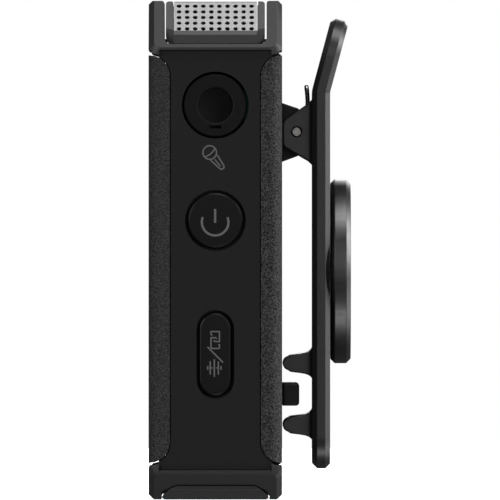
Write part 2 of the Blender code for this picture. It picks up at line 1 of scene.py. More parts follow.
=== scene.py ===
"""The looks of a clip-on wireless lavalier microphone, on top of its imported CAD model.

Sizes are in millimetres and at() turns them into metres. The frame is the CAD's: origin at the centre
of the body's bottom face, +Z up, +X the side with the socket, +Y the back with the clip.
"""

from math import ceil, cos, pi, radians, sin, sqrt, tan

import bmesh
import bpy
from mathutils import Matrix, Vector

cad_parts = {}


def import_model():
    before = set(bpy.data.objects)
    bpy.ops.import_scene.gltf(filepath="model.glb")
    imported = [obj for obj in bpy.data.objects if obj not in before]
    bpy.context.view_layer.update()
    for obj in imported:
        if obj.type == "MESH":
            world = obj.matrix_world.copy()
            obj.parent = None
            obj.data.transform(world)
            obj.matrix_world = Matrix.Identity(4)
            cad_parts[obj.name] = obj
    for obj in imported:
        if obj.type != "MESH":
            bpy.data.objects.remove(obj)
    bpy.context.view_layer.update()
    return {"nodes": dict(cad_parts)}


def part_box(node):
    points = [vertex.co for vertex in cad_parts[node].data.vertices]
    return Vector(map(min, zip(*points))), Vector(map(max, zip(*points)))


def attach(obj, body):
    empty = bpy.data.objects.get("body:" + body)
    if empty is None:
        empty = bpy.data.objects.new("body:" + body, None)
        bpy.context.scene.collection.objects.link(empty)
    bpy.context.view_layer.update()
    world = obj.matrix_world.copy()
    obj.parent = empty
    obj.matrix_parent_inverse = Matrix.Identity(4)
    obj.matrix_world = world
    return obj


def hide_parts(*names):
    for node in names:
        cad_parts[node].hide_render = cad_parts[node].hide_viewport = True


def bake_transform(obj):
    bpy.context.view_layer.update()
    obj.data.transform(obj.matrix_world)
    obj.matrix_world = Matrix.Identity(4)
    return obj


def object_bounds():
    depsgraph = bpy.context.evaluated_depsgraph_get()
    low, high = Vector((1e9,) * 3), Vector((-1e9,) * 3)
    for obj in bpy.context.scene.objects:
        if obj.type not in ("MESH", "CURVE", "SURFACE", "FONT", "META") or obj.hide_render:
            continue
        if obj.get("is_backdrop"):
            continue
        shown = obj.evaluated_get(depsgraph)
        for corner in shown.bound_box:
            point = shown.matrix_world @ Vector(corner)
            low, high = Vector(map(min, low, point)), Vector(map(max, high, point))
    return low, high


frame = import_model()

MM = 0.001
TOUCHING = 0.001                # points closer than this count as one
SHARP = radians(32)             # the turn from which an edge is rounded, or else shaded as sharp
BLANK = 200                     # side of the cube that a convex solid is cut from
THROUGH = 20                    # half the length of a cutter that passes right through along X


def span(node):
    """A CAD node's lowest and highest corners in millimetres."""
    return [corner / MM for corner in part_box(node)]


def at(x, y, z):
    return Vector((x, y, z)) * MM


def middle(node):
    low, high = span(node)
    return (low + high) / 2


# Outlines, as lists of (u, v) points in millimetres

def arc(centre, radius, start, end, steps=12):
    """Points on an arc between two angles in degrees."""
    points = []
    for step in range(steps + 1):
        angle = radians(start + (end - start) * step / steps)
        points.append((centre[0] + radius * cos(angle), centre[1] + radius * sin(angle)))
    return points


def circle(centre, radius, sides=64):
    return arc(centre, radius, 0, 360 * (1 - 1 / sides), sides - 1)


def rounded(u_low, u_high, v_low, v_high, radii):
    """A rectangle whose corners are rounded by radii, from the low-low corner anticlockwise."""
    corners = (
        (u_low + radii[0], v_low + radii[0], 180),
        (u_high - radii[1], v_low + radii[1], 270),
        (u_high - radii[2], v_high - radii[2], 0),
        (u_low + radii[3], v_high - radii[3], 90),
    )
    points = []
    for (u, v, start), radius in zip(corners, radii):
        points += arc((u, v), radius, start, start + 90)
    return points


def mirrored(points):
    """A half outline at u > 0, listed upwards, closed with its mirror image."""
    return points + [(-u, v) for u, v in reversed(points)]


# Meshes

def spot(axis, height, u, v):
    """A point in metres, from its height along an axis and its place in an outline."""
    spots = {"X": (height, u, v), "Y": (u, height, v), "Z": (u, v, height)}
    return Vector(spots[axis]) * MM


def add_loft(shape, rings, closed=False):
    """Adds a solid through rings of points in metres; closed joins the last ring to the first."""
    loops = [[shape.verts.new(point) for point in ring] for ring in rings]
    pairs = list(zip(loops, loops[1:]))
    if closed:
        pairs.append((loops[-1], loops[0]))
    else:
        shape.faces.new(loops[0])
        shape.faces.new(loops[-1])
    for first, second in pairs:
        for i in range(len(first)):
            shape.faces.new((first[i - 1], first[i], second[i], second[i - 1]))


def loft(rings):
    shape = bmesh.new()
    add_loft(shape, rings)
    return shape


def prism(axis, low, high, outline):
    """A solid with the same outline all the way from low to high along an axis."""
    return loft([[spot(axis, height, u, v) for u, v in outline] for height in (low, high)])


def convex(planes):
    """The solid behind every plane, each given as a point in millimetres and a normal."""
    shape = bmesh.new()
    bmesh.ops.create_cube(shape, size=BLANK * MM)
    for point, normal in planes:
        everything = shape.verts[:] + shape.edges[:] + shape.faces[:]
        cut = bmesh.ops.bisect_plane(
            shape, geom=everything, plane_co=at(*point), plane_no=normal, clear_outer=True)
        edges = [part for part in cut["geom_cut"] if isinstance(part, bmesh.types.BMEdge)]
        if edges:
            bmesh.ops.contextual_create(shape, geom=edges)
    return shape


def thing(name, shape):
    """An object made from a bmesh whose faces point out."""
    bmesh.ops.recalc_face_normals(shape, faces=shape.faces)
    mesh = bpy.data.meshes.new(name)
    shape.to_mesh(mesh)
    shape.free()
    item = bpy.data.objects.new(name, mesh)
    bpy.context.scene.collection.objects.link(item)
    return item


def applied(item):
    """The object with its modifiers turned into mesh."""
    graph = bpy.context.evaluated_depsgraph_get()
    mesh = bpy.data.meshes.new_from_object(item.evaluated_get(graph))
    item.modifiers.clear()
    item.data = mesh
    return item


def carve(item, operation, *shapes):
    """Cuts, joins or intersects an object with solids."""
    for shape in shapes:
        tool = thing("tool", shape)
        modifier = item.modifiers.new("carve", "BOOLEAN")
        modifier.operation = operation
        modifier.object = tool
        applied(item)
        bpy.data.objects.remove(tool)
    return item


def soften(item, material, bevel, segments=2):
    """Gives an object its material and, if there is a bevel, small rounded edges with clean shading."""
    item.data.materials.clear()
    item.data.materials.append(material)
    if bevel:
        edges = item.modifiers.new("edges", "BEVEL")
        edges.width = bevel * MM
        edges.segments = segments
        edges.limit_method = "ANGLE"
        edges.angle_limit = SHARP
        edges.use_clamp_overlap = True
        normals = item.modifiers.new("normals", "WEIGHTED_NORMAL")
        normals.weight = 80
    return item


def piece(name, shape, material, body, bevel, segments=2, replaced=None):
    """A finished piece that moves with a CAD body and may stand in for a CAD node."""
    item = shape if isinstance(shape, bpy.types.Object) else thing(name, shape)
    item.name = name
    item.data.shade_smooth()
    if not bevel:
        item.data.set_sharp_from_angle(angle=SHARP)
    soften(item, material, bevel, segments)
    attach(item, body)
    if replaced:
        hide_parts(replaced)


# Materials

class Finish:
    """A procedural material whose patterns are sized in millimetres."""

    def __init__(self, name, colour, roughness, metallic=0.0, specular=0.5):
        self.material = bpy.data.materials.new(name)
        self.material.use_nodes = True
        self.tree = self.material.node_tree
        self.shader = self.tree.nodes["Principled BSDF"]
        self.shader.inputs["Base Color"].default_value = (*colour, 1)
        self.shader.inputs["Roughness"].default_value = roughness
        self.shader.inputs["Metallic"].default_value = metallic
        self.shader.inputs["Specular IOR Level"].default_value = specular
        self.colour = colour
        self.roughness = roughness
        place = self.tree.nodes.new("ShaderNodeTexCoord")
        scale = self.tree.nodes.new("ShaderNodeVectorMath")
        scale.operation = "SCALE"
        scale.inputs["Scale"].default_value = 1 / MM
        self.link(place.outputs["Object"], scale.inputs[0])
        self.where = scale.outputs[0]
        self.relief = None

    def link(self, source, target):
        self.tree.links.new(source, target)

    def noise(self, size, detail=2.0, stretch=None):
        """Noise whose blobs are about size millimetres across."""
        node = self.tree.nodes.new("ShaderNodeTexNoise")
        node.inputs["Scale"].default_value = 1 / size
        node.inputs["Detail"].default_value = detail
        node.inputs["Roughness"].default_value = 0.6
        source = self.where
        if stretch:
            mapping = self.tree.nodes.new("ShaderNodeMapping")
            mapping.inputs["Scale"].default_value = stretch
            self.link(self.where, mapping.inputs["Vector"])
            source = mapping.outputs[0]
        self.link(source, node.inputs["Vector"])
        return node.outputs["Fac"]

    def cells(self, size):
        """Cells of about a size. Distance grows from their middles, and Color differs by cell."""
        node = self.tree.nodes.new("ShaderNodeTexVoronoi")
        node.inputs["Scale"].default_value = 1 / size
        self.link(self.where, node.inputs["Vector"])
        return node.outputs

    def between(self, value, low, high, start=0.25, end=0.75):
        """Maps start..end to low..high."""
        node = self.tree.nodes.new("ShaderNodeMapRange")
        node.inputs["From Min"].default_value = start
        node.inputs["From Max"].default_value = end
        node.inputs["To Min"].default_value = low
        node.inputs["To Max"].default_value = high
        self.link(value, node.inputs["Value"])
        return node.outputs["Result"]

    def mottle(self, value, amount, spread=0.25):
        """Varies the colour's brightness by an amount, as the value strays from 0.5 by the spread."""
        node = self.tree.nodes.new("ShaderNodeVectorMath")
        node.operation = "SCALE"
        node.inputs[0].default_value = self.colour
        shade = self.between(value, 1 - amount, 1 + amount, 0.5 - spread, 0.5 + spread)
        self.link(shade, node.inputs["Scale"])
        self.link(node.outputs[0], self.shader.inputs["Base Color"])

    def vary_roughness(self, value, amount):
        low, high = self.roughness - amount, self.roughness + amount
        self.link(self.between(value, low, high), self.shader.inputs["Roughness"])

    def bump(self, value, height):
        """Relief of a height in millimetres. Later calls add to earlier ones."""
        node = self.tree.nodes.new("ShaderNodeBump")
        node.inputs["Distance"].default_value = height * MM
        self.link(value, node.inputs["Height"])
        if self.relief:
            self.link(self.relief, node.inputs["Normal"])
        self.relief = node.outputs[0]
        self.link(self.relief, self.shader.inputs["Normal"])


def moulded(name, colour, roughness, texture=0.12, height=0.004, specular=0.5):
    """Plastic, rubber or paint with a texture of a given size and height, and a faint cloudiness."""
    made = Finish(name, colour, roughness, specular=specular)
    made.mottle(made.noise(2.5, 3.0), 0.06)
    made.vary_roughness(made.noise(0.5, 3.0), 0.02)
    made.bump(made.noise(texture, 2.0), height)
    return made.material


def grained(name, colour, contrast, spread):
    """Pebbled leather-like grain. The contrast is how far the pebbles' brightness differs."""
    made = Finish(name, colour, 0.60, specular=0.35)
    pebbles = made.cells(0.09)
    made.mottle(pebbles["Color"], contrast, spread)
    made.bump(made.cells(0.20)["Distance"], -0.08)
    made.bump(pebbles["Color"], 0.08)
    return made.material


def metal(name, colour, roughness, stretch=None):
    """Worn metal. Its fine brushing, if there is any, runs along the axis with the smallest stretch."""
    made = Finish(name, colour, roughness, metallic=1.0)
    made.mottle(made.noise(0.8, 3.0), 0.06)
    made.vary_roughness(made.noise(0.3, 3.0, stretch), 0.06)
    made.bump(made.noise(0.12, 2.0, stretch), 0.002)
    return made.material


looks = {
    "frame": moulded("frame_black", (0.0062, 0.0062, 0.0073), 0.66, 0.12, 0.008, specular=0.33),
    "guard": moulded("guard_grey", (0.0205, 0.0205, 0.021), 0.5, 0.10, 0.005),
    "head": moulded("head_grey", (0.046, 0.046, 0.046), 0.42),
    # two copies of one leather: the back's has stronger pebble contrast and a lighter colour, painted
    # light where light grazes the back
    "front_leather": grained("front_leather", (0.0285, 0.0285, 0.0295), 0.60, 0.20),
    "back_leather_painted_light": grained("back_leather_painted_light", (0.0295, 0.0295, 0.0305), 0.98, 0.10),
    "black": moulded("deep_black", (0.0027, 0.0027, 0.0032), 0.55, specular=0.2),
    "bore": moulded("bore_grey", (0.05, 0.05, 0.05), 0.6),
    "button": moulded("button_black", (0.0027, 0.0027, 0.0034), 0.36, 0.10, 0.003, specular=0.26),
    "bracket": moulded("bracket_black", (0.0050, 0.0050, 0.0058), 0.5, specular=0.3),
    "rubber": moulded("soft_rubber", (0.010, 0.010, 0.010), 0.8, 0.2, 0.006),
    "lever": moulded("lever_grey", (0.0150, 0.0150, 0.0148), 0.37, 0.08, 0.003, specular=0.74),
    "disc": metal("disc_grey", (0.104, 0.104, 0.106), 0.38, (1, 0.05, 1)),
    "mesh": metal("mesh_steel", (0.37, 0.37, 0.37), 0.50),
    "steel": metal("steel", (0.45, 0.44, 0.42), 0.32),
    "wire": metal("spring_wire", (0.50, 0.49, 0.47), 0.22),
    "gold": metal("gold", (0.80, 0.58, 0.25), 0.28),
    "foam": moulded("foam", (0.012, 0.012, 0.012), 0.95, 0.35, 0.15),
    "board": moulded("board", (0.010, 0.085, 0.035), 0.45, 0.6, 0.01),
    "cell": moulded("cell_wrap", (0.42, 0.44, 0.46), 0.40),
    "lens": moulded("lens", (0.45, 0.50, 0.48), 0.28),
    "ceramic": moulded("ceramic", (0.62, 0.60, 0.55), 0.55),
    "print": moulded("print", (0.14, 0.14, 0.145), 0.6, 0.08, 0.002),
    "record_red": moulded("record_red", (0.30, 0.02, 0.015), 0.5, 0.08, 0.002),
}

CAD_LOOKS = {                   # the look and edge rounding of each CAD node that keeps its shape
    "mid_frame": ("frame", 0.10),
    "front_cover": ("front_leather", 0.12),
    # the back cover's leather copy carries painted grazing light
    "back_cover": ("back_leather_painted_light", 0.12),
    "base_block": ("guard", 0.09),
    "clip_lever": ("lever", 0.05),
    "clip_bracket": ("bracket", 0.06),
    "grip_block": ("bracket", 0.10),
    "magnet_cap": ("disc", 0.06),
    "jack_collar": ("black", 0.05),
    "jack_socket": ("bore", 0.0),
    "power_button": ("button", 0.05),
    "link_button": ("button", 0.10),
    "rec_button": ("button", 0.05),
    "hinge_pin": ("steel", 0.0),
    "usb_shell": ("steel", 0.04),
    "usb_tongue": ("black", 0.03),
    "wind_foam": ("foam", 0.0),
    "light_guide": ("lens", 0.04),
    "status_lamp": ("lens", 0.0),
    "mic_capsule": ("steel", 0.0),
    "capsule_boot": ("rubber", 0.0),
    "battery": ("cell", 0.0),
    "battery_pad": ("foam", 0.0),
    "antenna": ("ceramic", 0.0),
    "shield_can": ("steel", 0.0),
    "backing_plate": ("steel", 0.0),
    # the lever's steel plate takes deep black, not steel: painted shade where the disc's seat breaks
    # through the lever's bevel
    "lever_steel": ("black", 0.0),
    "magnet_back": ("steel", 0.0),
    "magnet": ("steel", 0.0),
}


def cad_look(name):
    """The look and edge rounding of a CAD node, by name or by what its name says it is."""
    if name in CAD_LOOKS:
        return CAD_LOOKS[name]
    if "contact" in name:
        return "gold", 0.04
    if name.endswith("board"):
        return "board", 0.0
    if "screw" in name or "plunger" in name:
        return "steel", 0.03
    return "black", 0.0


def dress():
    """Gives each CAD node its material, faces in one piece, and softly rounded edges."""
    for name, item in frame["nodes"].items():
        look, bevel = cad_look(name)
        weld = item.modifiers.new("weld", "WELD")
        weld.merge_threshold = TOUCHING * MM
        flatten = item.modifiers.new("flatten", "DECIMATE")
        flatten.decimate_type = "DISSOLVE"
        flatten.angle_limit = radians(1)
        soften(item, looks[look], bevel)


# Guards

HALF_WIDTH, HALF_DEPTH, HEIGHT = span("top_guard")[1]
POST = 5.6                      # from the middle to where a guard's edge steps towards its cover
GUARD_LOW = 44.9                # the upper guard's edge between those steps
GUARD_SLOPE = 45.15             # where the upper guard's ends turn into 45 degree shoulders
GUARD_FLOOR = 45.5              # bottom of the gap between the upper guard's arms
GUARD_CORNER = 0.7              # radius at the arms' feet
ARM_INNER = 5.13                # from the middle to an arm
ARM_CHAMFER = 0.15              # at the top of an arm's inner side
ARM_SLOPE = 1.38                # height over which an arm's outer side slopes in
ARM_SLOPE_IN = 0.38             # how far it slopes in
RIM = 0.55                      # width of the chamfer round the guards' sloping ends
RIM_CORNER = 0.8                # radius of the chamfer's corners
RIM_STEPS = 9
BASE_HIGH = 2.94                # the lower guard's edge between its steps
BASE_SLOPE = 2.55               # where the lower guard's ends start to slope in
BLOCK_HIGH = 1.36               # top of the base block that the lower guard stands round
BLOCK_GAP = 0.05                # room that the lower guard leaves round the block
WAY_CORNER = 1                  # corner radius of the openings that lead down to the capsule


def both_ways(planes):
    """The planes with their mirror images in X and in Y."""
    every = []
    for point, normal in planes:
        for x in (1, -1):
            for y in (1, -1):
                every.append(((point[0] * x, point[1] * y, point[2]),
                              (normal[0] * x, normal[1] * y, normal[2])))
    return every


def guard_shell(slope_z, end_z, up):
    """A guard's outside: sloping ends with a chamfer that turns round their corners; up is +1 or -1."""
    slope = Vector((1, 0, up)).normalized()
    outwards = Vector((1, 0, -up)).normalized()
    sideways = Vector((0, 1, 0))
    corner = Vector((HALF_WIDTH, HALF_DEPTH - RIM, slope_z))
    centre = corner - (outwards + sideways) * RIM_CORNER
    planes = [
        ((HALF_WIDTH, 0, 0), (1, 0, 0)),
        ((HALF_WIDTH, 0, slope_z), slope),
        ((0, 0, end_z), (0, 0, up)),
        ((0, HALF_DEPTH, 0), (0, 1, 0)),
    ]
    for step in range(RIM_STEPS):
        angle = radians(90 * step / RIM_STEPS)
        direction = sideways * cos(angle) + outwards * sin(angle)
        planes.append((centre + direction * RIM_CORNER, slope + direction))
    return convex(both_ways(planes))


def way(half_width, half_depth, low, high):
    """What is cut away for an opening that leads down to the capsule."""
    corners = [WAY_CORNER] * 4
    return prism("Z", low, high, rounded(-half_width, half_width, -half_depth, half_depth, corners))


def make_upper_guard():
    """A collar round the head, with an arm up each side of the grille."""
    turn = arc((ARM_INNER - GUARD_CORNER, GUARD_FLOOR + GUARD_CORNER), GUARD_CORNER, 0, -90, 10)
    outline = mirrored([
        (POST, GUARD_LOW),
        (POST + 0.02, GUARD_LOW - 0.52),
        (6.0, GUARD_LOW - 0.43),
        (6.38, GUARD_LOW - 0.30),
        (6.40, GUARD_LOW - 0.08),
        (HALF_DEPTH, GUARD_LOW - 0.02),
        (HALF_DEPTH + 1, GUARD_LOW + 1.0),
        (HALF_DEPTH + 1, HEIGHT - ARM_SLOPE),
        (HALF_DEPTH - ARM_SLOPE_IN, HEIGHT),
        (ARM_INNER + ARM_CHAMFER, HEIGHT),
        (ARM_INNER, HEIGHT - ARM_CHAMFER),
    ] + turn)
    guard = thing("upper_guard", guard_shell(GUARD_SLOPE, HEIGHT, up=1))
    carve(guard, "INTERSECT", prism("X", -THROUGH, THROUGH, outline))
    carve(guard, "DIFFERENCE", way(11.8, 4, GUARD_LOW - 0.9, GUARD_FLOOR + 1.5))
    piece("upper_guard", guard, looks["guard"], "body", bevel=0.09, segments=3, replaced="top_guard")


def make_lower_guard():
    """A foot that stands round the base block."""
    outline = mirrored([
        (5.14, -1.0),
        (6.14, 0.0),
        (HALF_DEPTH + 0.5, 0.94),
        (HALF_DEPTH + 0.5, BASE_HIGH + 0.26),
        (6.40, BASE_HIGH + 0.30),
        (6.38, BASE_HIGH + 0.46),
        (6.0, BASE_HIGH + 0.54),
        (POST, BASE_HIGH + 0.66),
        (POST, BASE_HIGH),
    ])
    guard = thing("lower_guard", guard_shell(BASE_SLOPE, 0, up=-1))
    carve(guard, "INTERSECT", prism("X", -THROUGH, THROUGH, outline))
    block = ((5.36, -1.0), (5.36, 0.28), (5.15, 0.55), (4.72, 0.95), (4.30, 1.22), (3.85, BLOCK_HIGH))
    opening = mirrored([(y + BLOCK_GAP, z + BLOCK_GAP) for y, z in block])
    carve(guard, "DIFFERENCE", prism("X", -THROUGH, THROUGH, opening))
    piece("lower_guard", guard, looks["guard"], "body", bevel=0.07, segments=3, replaced="bottom_guard")


# Head and seals

HEAD_HALF_WIDTH, HEAD_HALF_DEPTH, HEAD_HIGH = span("head_frame")[1]
HEAD_LOW = span("head_frame")[0].z
HEAD_SLOPE = 46.42              # where the head's ends turn into 45 degree shoulders
HEAD_CORNER = 0.3               # radius of the head's upper corners
BELOW_HEAD = 45
ABOVE_HEAD = 51
MESH_FOOT, MESH_HALF_DEPTH, MESH_TOP = span("grille_mesh")[1]
MESH_LOW = span("grille_mesh")[0].z
WINDOW_GAP = 0.05               # room between the grille and the pillars
GROOVE_GAP = 0.13               # room above GROOVE_LOW
GROOVE_LOW = 49.4
LIP_GAP = 0.06                  # room between the grille's foot and the lip
PILLAR_TILT = 14                # degrees that the pillars' feet turn away from the end face
PILLAR_GAP = 0.02               # room between the grille and the pillars' feet
COVER_LOW, COVER_HIGH = [corner.z for corner in span("front_cover")]
COVER_CORNER = 2.05             # radius of the covers' corners
COVER_EDGE = HALF_DEPTH - 0.07  # from the middle to those corners' centres
CORNER_SPANS = {                # the degrees of each corner that are closed
    "back": [(2, 88)],
    "front": [(2, 37), (45, 62)],
}
CORNER_SEAL = (-0.04, 0.14)     # the corner seals' edges, from the covers' corner radius
SLOT_SEAL = ((4.86, 45.6), (5.2, 45.6), (5.2, 46.0), (4.86, 46.0))


def make_head():
    """The grille's carrier: a lip below the grille between four pillars whose feet are set back."""
    shell = both_ways([
        ((HEAD_HALF_WIDTH, 0, 0), (1, 0, 0)),
        ((HEAD_HALF_WIDTH, 0, HEAD_SLOPE), (1, 0, 1)),
        ((0, 0, HEAD_HIGH), (0, 0, 1)),
        ((0, 0, HEAD_LOW), (0, 0, -1)),
        ((0, HEAD_HALF_DEPTH, 0), (0, 1, 0)),
    ])
    head = thing("head", convex(shell))
    corners = (GUARD_CORNER, GUARD_CORNER, HEAD_CORNER, HEAD_CORNER)
    side = rounded(-HEAD_HALF_DEPTH, HEAD_HALF_DEPTH, HEAD_LOW, HEAD_HIGH, corners)
    carve(head, "INTERSECT", prism("X", -THROUGH, THROUGH, side))
    window = MESH_HALF_DEPTH + WINDOW_GAP
    groove = MESH_HALF_DEPTH + GROOVE_GAP
    opening = mirrored([
        (window, MESH_LOW - LIP_GAP),
        (window, GROOVE_LOW),
        (groove, GROOVE_LOW),
        (groove, ABOVE_HEAD),
    ])
    carve(head, "DIFFERENCE", prism("X", -THROUGH, THROUGH, opening))
    carve(head, "DIFFERENCE", way(11.6, 3.85, BELOW_HEAD, ABOVE_HEAD))
    set_back = HEAD_HALF_WIDTH - (MESH_LOW - HEAD_SLOPE)
    reach = 3.0
    tilted = set_back - reach * tan(radians(PILLAR_TILT))
    near = MESH_HALF_DEPTH + PILLAR_GAP
    far = MESH_HALF_DEPTH + reach
    for x in (-1, 1):
        for y in (-1, 1):
            foot = [
                (x * set_back, y * near),
                (x * THROUGH, y * near),
                (x * THROUGH, y * far),
                (x * tilted, y * far),
            ]
            carve(head, "DIFFERENCE", prism("Z", BELOW_HEAD - 5, ABOVE_HEAD + 4, foot))
    piece("head", head, looks["head"], "body", bevel=0.07, segments=3, replaced="head_frame")


def seal(name, outline, half_width):
    """A black strip that closes a seam from inside, set back from the sides."""
    piece(name, prism("X", -half_width, half_width, outline), looks["rubber"], "body", bevel=0.0)


def make_seals():
    """Seals at the covers' corners and in the slots beside the head.

    The back cover's corners are closed. The front cover's keep a hole and stay open by the guards.
    """
    ends = (
        ("upper", COVER_HIGH - COVER_CORNER, 1),
        ("lower", COVER_LOW + COVER_CORNER, -1),
    )
    sides = {"back": 1, "front": -1}
    inner_radius, outer_radius = [COVER_CORNER + offset for offset in CORNER_SEAL]
    for cover, y in sides.items():
        for end, z, turn in ends:
            for number, (start, stop) in enumerate(CORNER_SPANS[cover], 1):
                outer = arc((0, 0), outer_radius, start, stop, 10)
                inner = arc((0, 0), inner_radius, stop, start, 10)
                outline = [(y * (COVER_EDGE - u), z + turn * v) for u, v in outer + inner]
                seal(f"{cover}_{end}_seal_{number}", outline, half_width=13.0)
    for cover in ("front", "back"):
        outline = [(sides[cover] * y, z) for y, z in SLOT_SEAL]
        seal(f"{cover}_slot_seal", outline, half_width=12.0)


# Grille

MESH_THICK = 0.07
HOLE_PITCH = 0.806
HOLE_RADIUS = 0.24
HOLE_SIDES = 16
HOLE_COLUMNS = 10
SLOPE_ROWS = 5
FIRST_ROW = 0.66                # from the fold to the first row of holes, along the slope
TOP_MARGINS = 0.9               # the least that the flat top keeps plain, both ends together
FOLD_RADIUS = 0.3
FOLD_STRIP = 0.06               # length of the flat strips that follow the folds
HALF_TOP = MESH_FOOT - (MESH_TOP - MESH_LOW)


def folded(along, y):
    """Where a point of the flat sheet lies once folded; along starts at the middle of the top."""
    side = 1 if along > 0 else -1
    run = abs(along) - HALF_TOP
    cut = FOLD_RADIUS * (sqrt(2) - 1)       # how far the fold reaches from its corner
    if run < -cut:
        x, z = abs(along), MESH_TOP
    elif run > cut:
        x, z = HALF_TOP + run / sqrt(2), MESH_TOP - run / sqrt(2)
    else:
        angle = (run + cut) / (2 * cut) * pi / 4
        x = HALF_TOP - cut + FOLD_RADIUS * sin(angle)
        z = MESH_TOP - FOLD_RADIUS * (1 - cos(angle))
    return at(side * x, y, z)


def make_grille():
    """A thin steel sheet with real holes, folded over the capsule."""
    shape = bmesh.new()
    slope_end = HALF_TOP + (MESH_TOP - MESH_LOW) * sqrt(2)
    top_rows = int((2 * HALF_TOP - TOP_MARGINS) / HOLE_PITCH)
    rows = [(row - (top_rows - 1) / 2) * HOLE_PITCH for row in range(top_rows)]
    slope = [HALF_TOP + FIRST_ROW + row * HOLE_PITCH for row in range(SLOPE_ROWS)]
    rows = [-row for row in reversed(slope)] + rows + slope
    columns = [(column - (HOLE_COLUMNS - 1) / 2) * HOLE_PITCH for column in range(HOLE_COLUMNS)]
    half = HOLE_PITCH / 2

    def vert(along, y):
        return shape.verts.new(folded(along, y))

    for row in rows:
        for column in columns:
            ring = [vert(row + u, column + v) for u, v in circle((0, 0), HOLE_RADIUS, HOLE_SIDES)]
            edge = []
            for u, v in circle((0, 0), 1.0, HOLE_SIDES):
                reach = half / max(abs(u), abs(v))
                edge.append(vert(row + u * reach, column + v * reach))
            for i in range(HOLE_SIDES):
                shape.faces.new((ring[i - 1], edge[i - 1], edge[i], ring[i]))

    def plain(along_low, along_high, y_low, y_high, strips=1):
        """Sheet without holes, divided along its length."""
        for strip in range(strips):
            start = along_low + (along_high - along_low) * strip / strips
            end = along_low + (along_high - along_low) * (strip + 1) / strips
            corners = ((start, y_low), (end, y_low), (end, y_high), (start, y_high))
            shape.faces.new([vert(*corner) for corner in corners])

    reach = columns[-1] + half
    bands = [(-MESH_HALF_DEPTH, -reach), (reach, MESH_HALF_DEPTH)]
    for row in rows:
        for y_low, y_high in bands:
            for start in (row - half, row):
                plain(start, start + half, y_low, y_high)
    edges = [-slope_end] + rows + [slope_end]
    for number, (before, after) in enumerate(zip(edges, edges[1:])):
        start = before if number == 0 else before + half
        end = after if number == len(rows) else after - half
        if end - start > TOUCHING:
            plain(start, end, -MESH_HALF_DEPTH, MESH_HALF_DEPTH, ceil((end - start) / FOLD_STRIP))
    bmesh.ops.remove_doubles(shape, verts=shape.verts, dist=TOUCHING * MM)
    sheet = thing("grille", shape)
    thicken = sheet.modifiers.new("thicken", "SOLIDIFY")
    thicken.thickness = MESH_THICK * MM
    thicken.offset = -1
    applied(sheet)
    piece("grille", sheet, looks["mesh"], "body", bevel=0.0, replaced="grille_mesh")


# Printed signs

PRINT_HIGH = 0.012              # how far a print stands out
PRINT_DEEP = 0.02               # how far it reaches into its surface


def add_ribbon(shape, points, width, x, closed):
    """Adds a flat raised line through (y, z) points, on the side at x."""
    count = len(points)
    left, right = [], []
    for i, point in enumerate(points):
        here = Vector(point)
        before = here - Vector(points[i - 1]) if i or closed else None
        after = Vector(points[(i + 1) % count]) - here if i < count - 1 or closed else None
        before = (before or after).normalized()
        after = (after or before).normalized()
        across = Vector((-before.y - after.y, before.x + after.x)) / (1 + before.dot(after))
        left.append(here + across * width / 2)
        right.append(here - across * width / 2)
    low, high = x - PRINT_DEEP, x + PRINT_HIGH
    rings = []
    for a, b in zip(left, right):
        corners = ((low, *a), (high, *a), (high, *b), (low, *b))
        rings.append([at(*corner) for corner in corners])
    add_loft(shape, rings, closed)


def sign(name, strokes, x, body):
    """A printed sign of (points, width, closed) strokes on the side at x."""
    shape = bmesh.new()
    for points, width, closed in strokes:
        add_ribbon(shape, points, width, x, closed)
    piece(name, shape, looks["print"], body, bevel=0.0)


def make_power_sign():
    """A ring that is open at the top, with a bar in the gap."""
    y, z = -0.02, middle("power_button").z - 0.13
    width = 0.22
    ring = arc((y, z - 0.04), 1.33, 158, 382, 32)
    bar = [(y, z - 0.11), (y, z + 1.27)]
    strokes = [(ring, width, False), (bar, width, False)]
    sign("power_sign", strokes, span("power_button")[1].x, "power_key")


def make_microphone_sign():
    """A hand microphone that leans to the left."""
    head = Vector((-0.56, 34.65))
    down = Vector((0.64, -0.77)).normalized()
    across = Vector((-down.y, down.x))

    def along(*places):
        """Points given by their distances down the handle and across it."""
        return [tuple(head + down * length + across * side) for length, side in places]

    reach = 0.64
    steps = (-reach, -0.4, -0.15, 0.15, 0.4, reach)
    band = along(*((0.16 - 0.13 * (side / reach) ** 2, side) for side in steps))
    grip = along((0.66, 0.42), (1.95, 0.24), (2.08, 0.10), (2.08, -0.10), (1.95, -0.24), (0.66, -0.42))
    slit = along((0.85, -0.05), (1.75, -0.05))
    strokes = [
        (circle(head, 0.68, 32), 0.13, True),
        (band, 0.12, False),
        (grip, 0.13, False),
        (slit, 0.12, False),
    ]
    sign("microphone_sign", strokes, span("mid_frame")[1].x, "body")


def make_link_sign():
    """Two links that hold each other, a slash and a sound wave."""
    thick, thin = 0.13, 0.11
    upper_link = [
        (-0.30, 16.39), (-0.43, 16.50), (-0.43, 16.78), (0.41, 16.78), (0.41, 15.78), (-0.05, 15.78),
        (-0.17, 15.91),
    ]
    lower_link = [
        (0.13, 16.04), (0.02, 16.17), (-0.43, 16.17), (-0.43, 15.22), (-0.33, 15.09), (0.34, 15.09),
        (0.42, 15.19), (0.42, 15.46), (0.29, 15.48),
    ]
    slash = [(-0.77, 15.24), (0.77, 13.69)]
    wave = 13.15
    dashes = ((-0.45, -0.27), (0.08, 0.25))
    bars = ((-0.76, 0.19), (-0.51, 0.65), (-0.10, 0.88), (0.30, 0.65), (0.56, 0.19))
    strokes = [(upper_link, thick, False), (lower_link, thick, False), (slash, thick, False)]
    for start, stop in dashes:
        strokes.append(([(start, wave), (stop, wave)], thin, False))
    for y, reach in bars:
        strokes.append(([(y, wave - reach), (y, wave + reach)], thick, False))
    sign("link_sign", strokes, span("link_button")[1].x, "link_key")


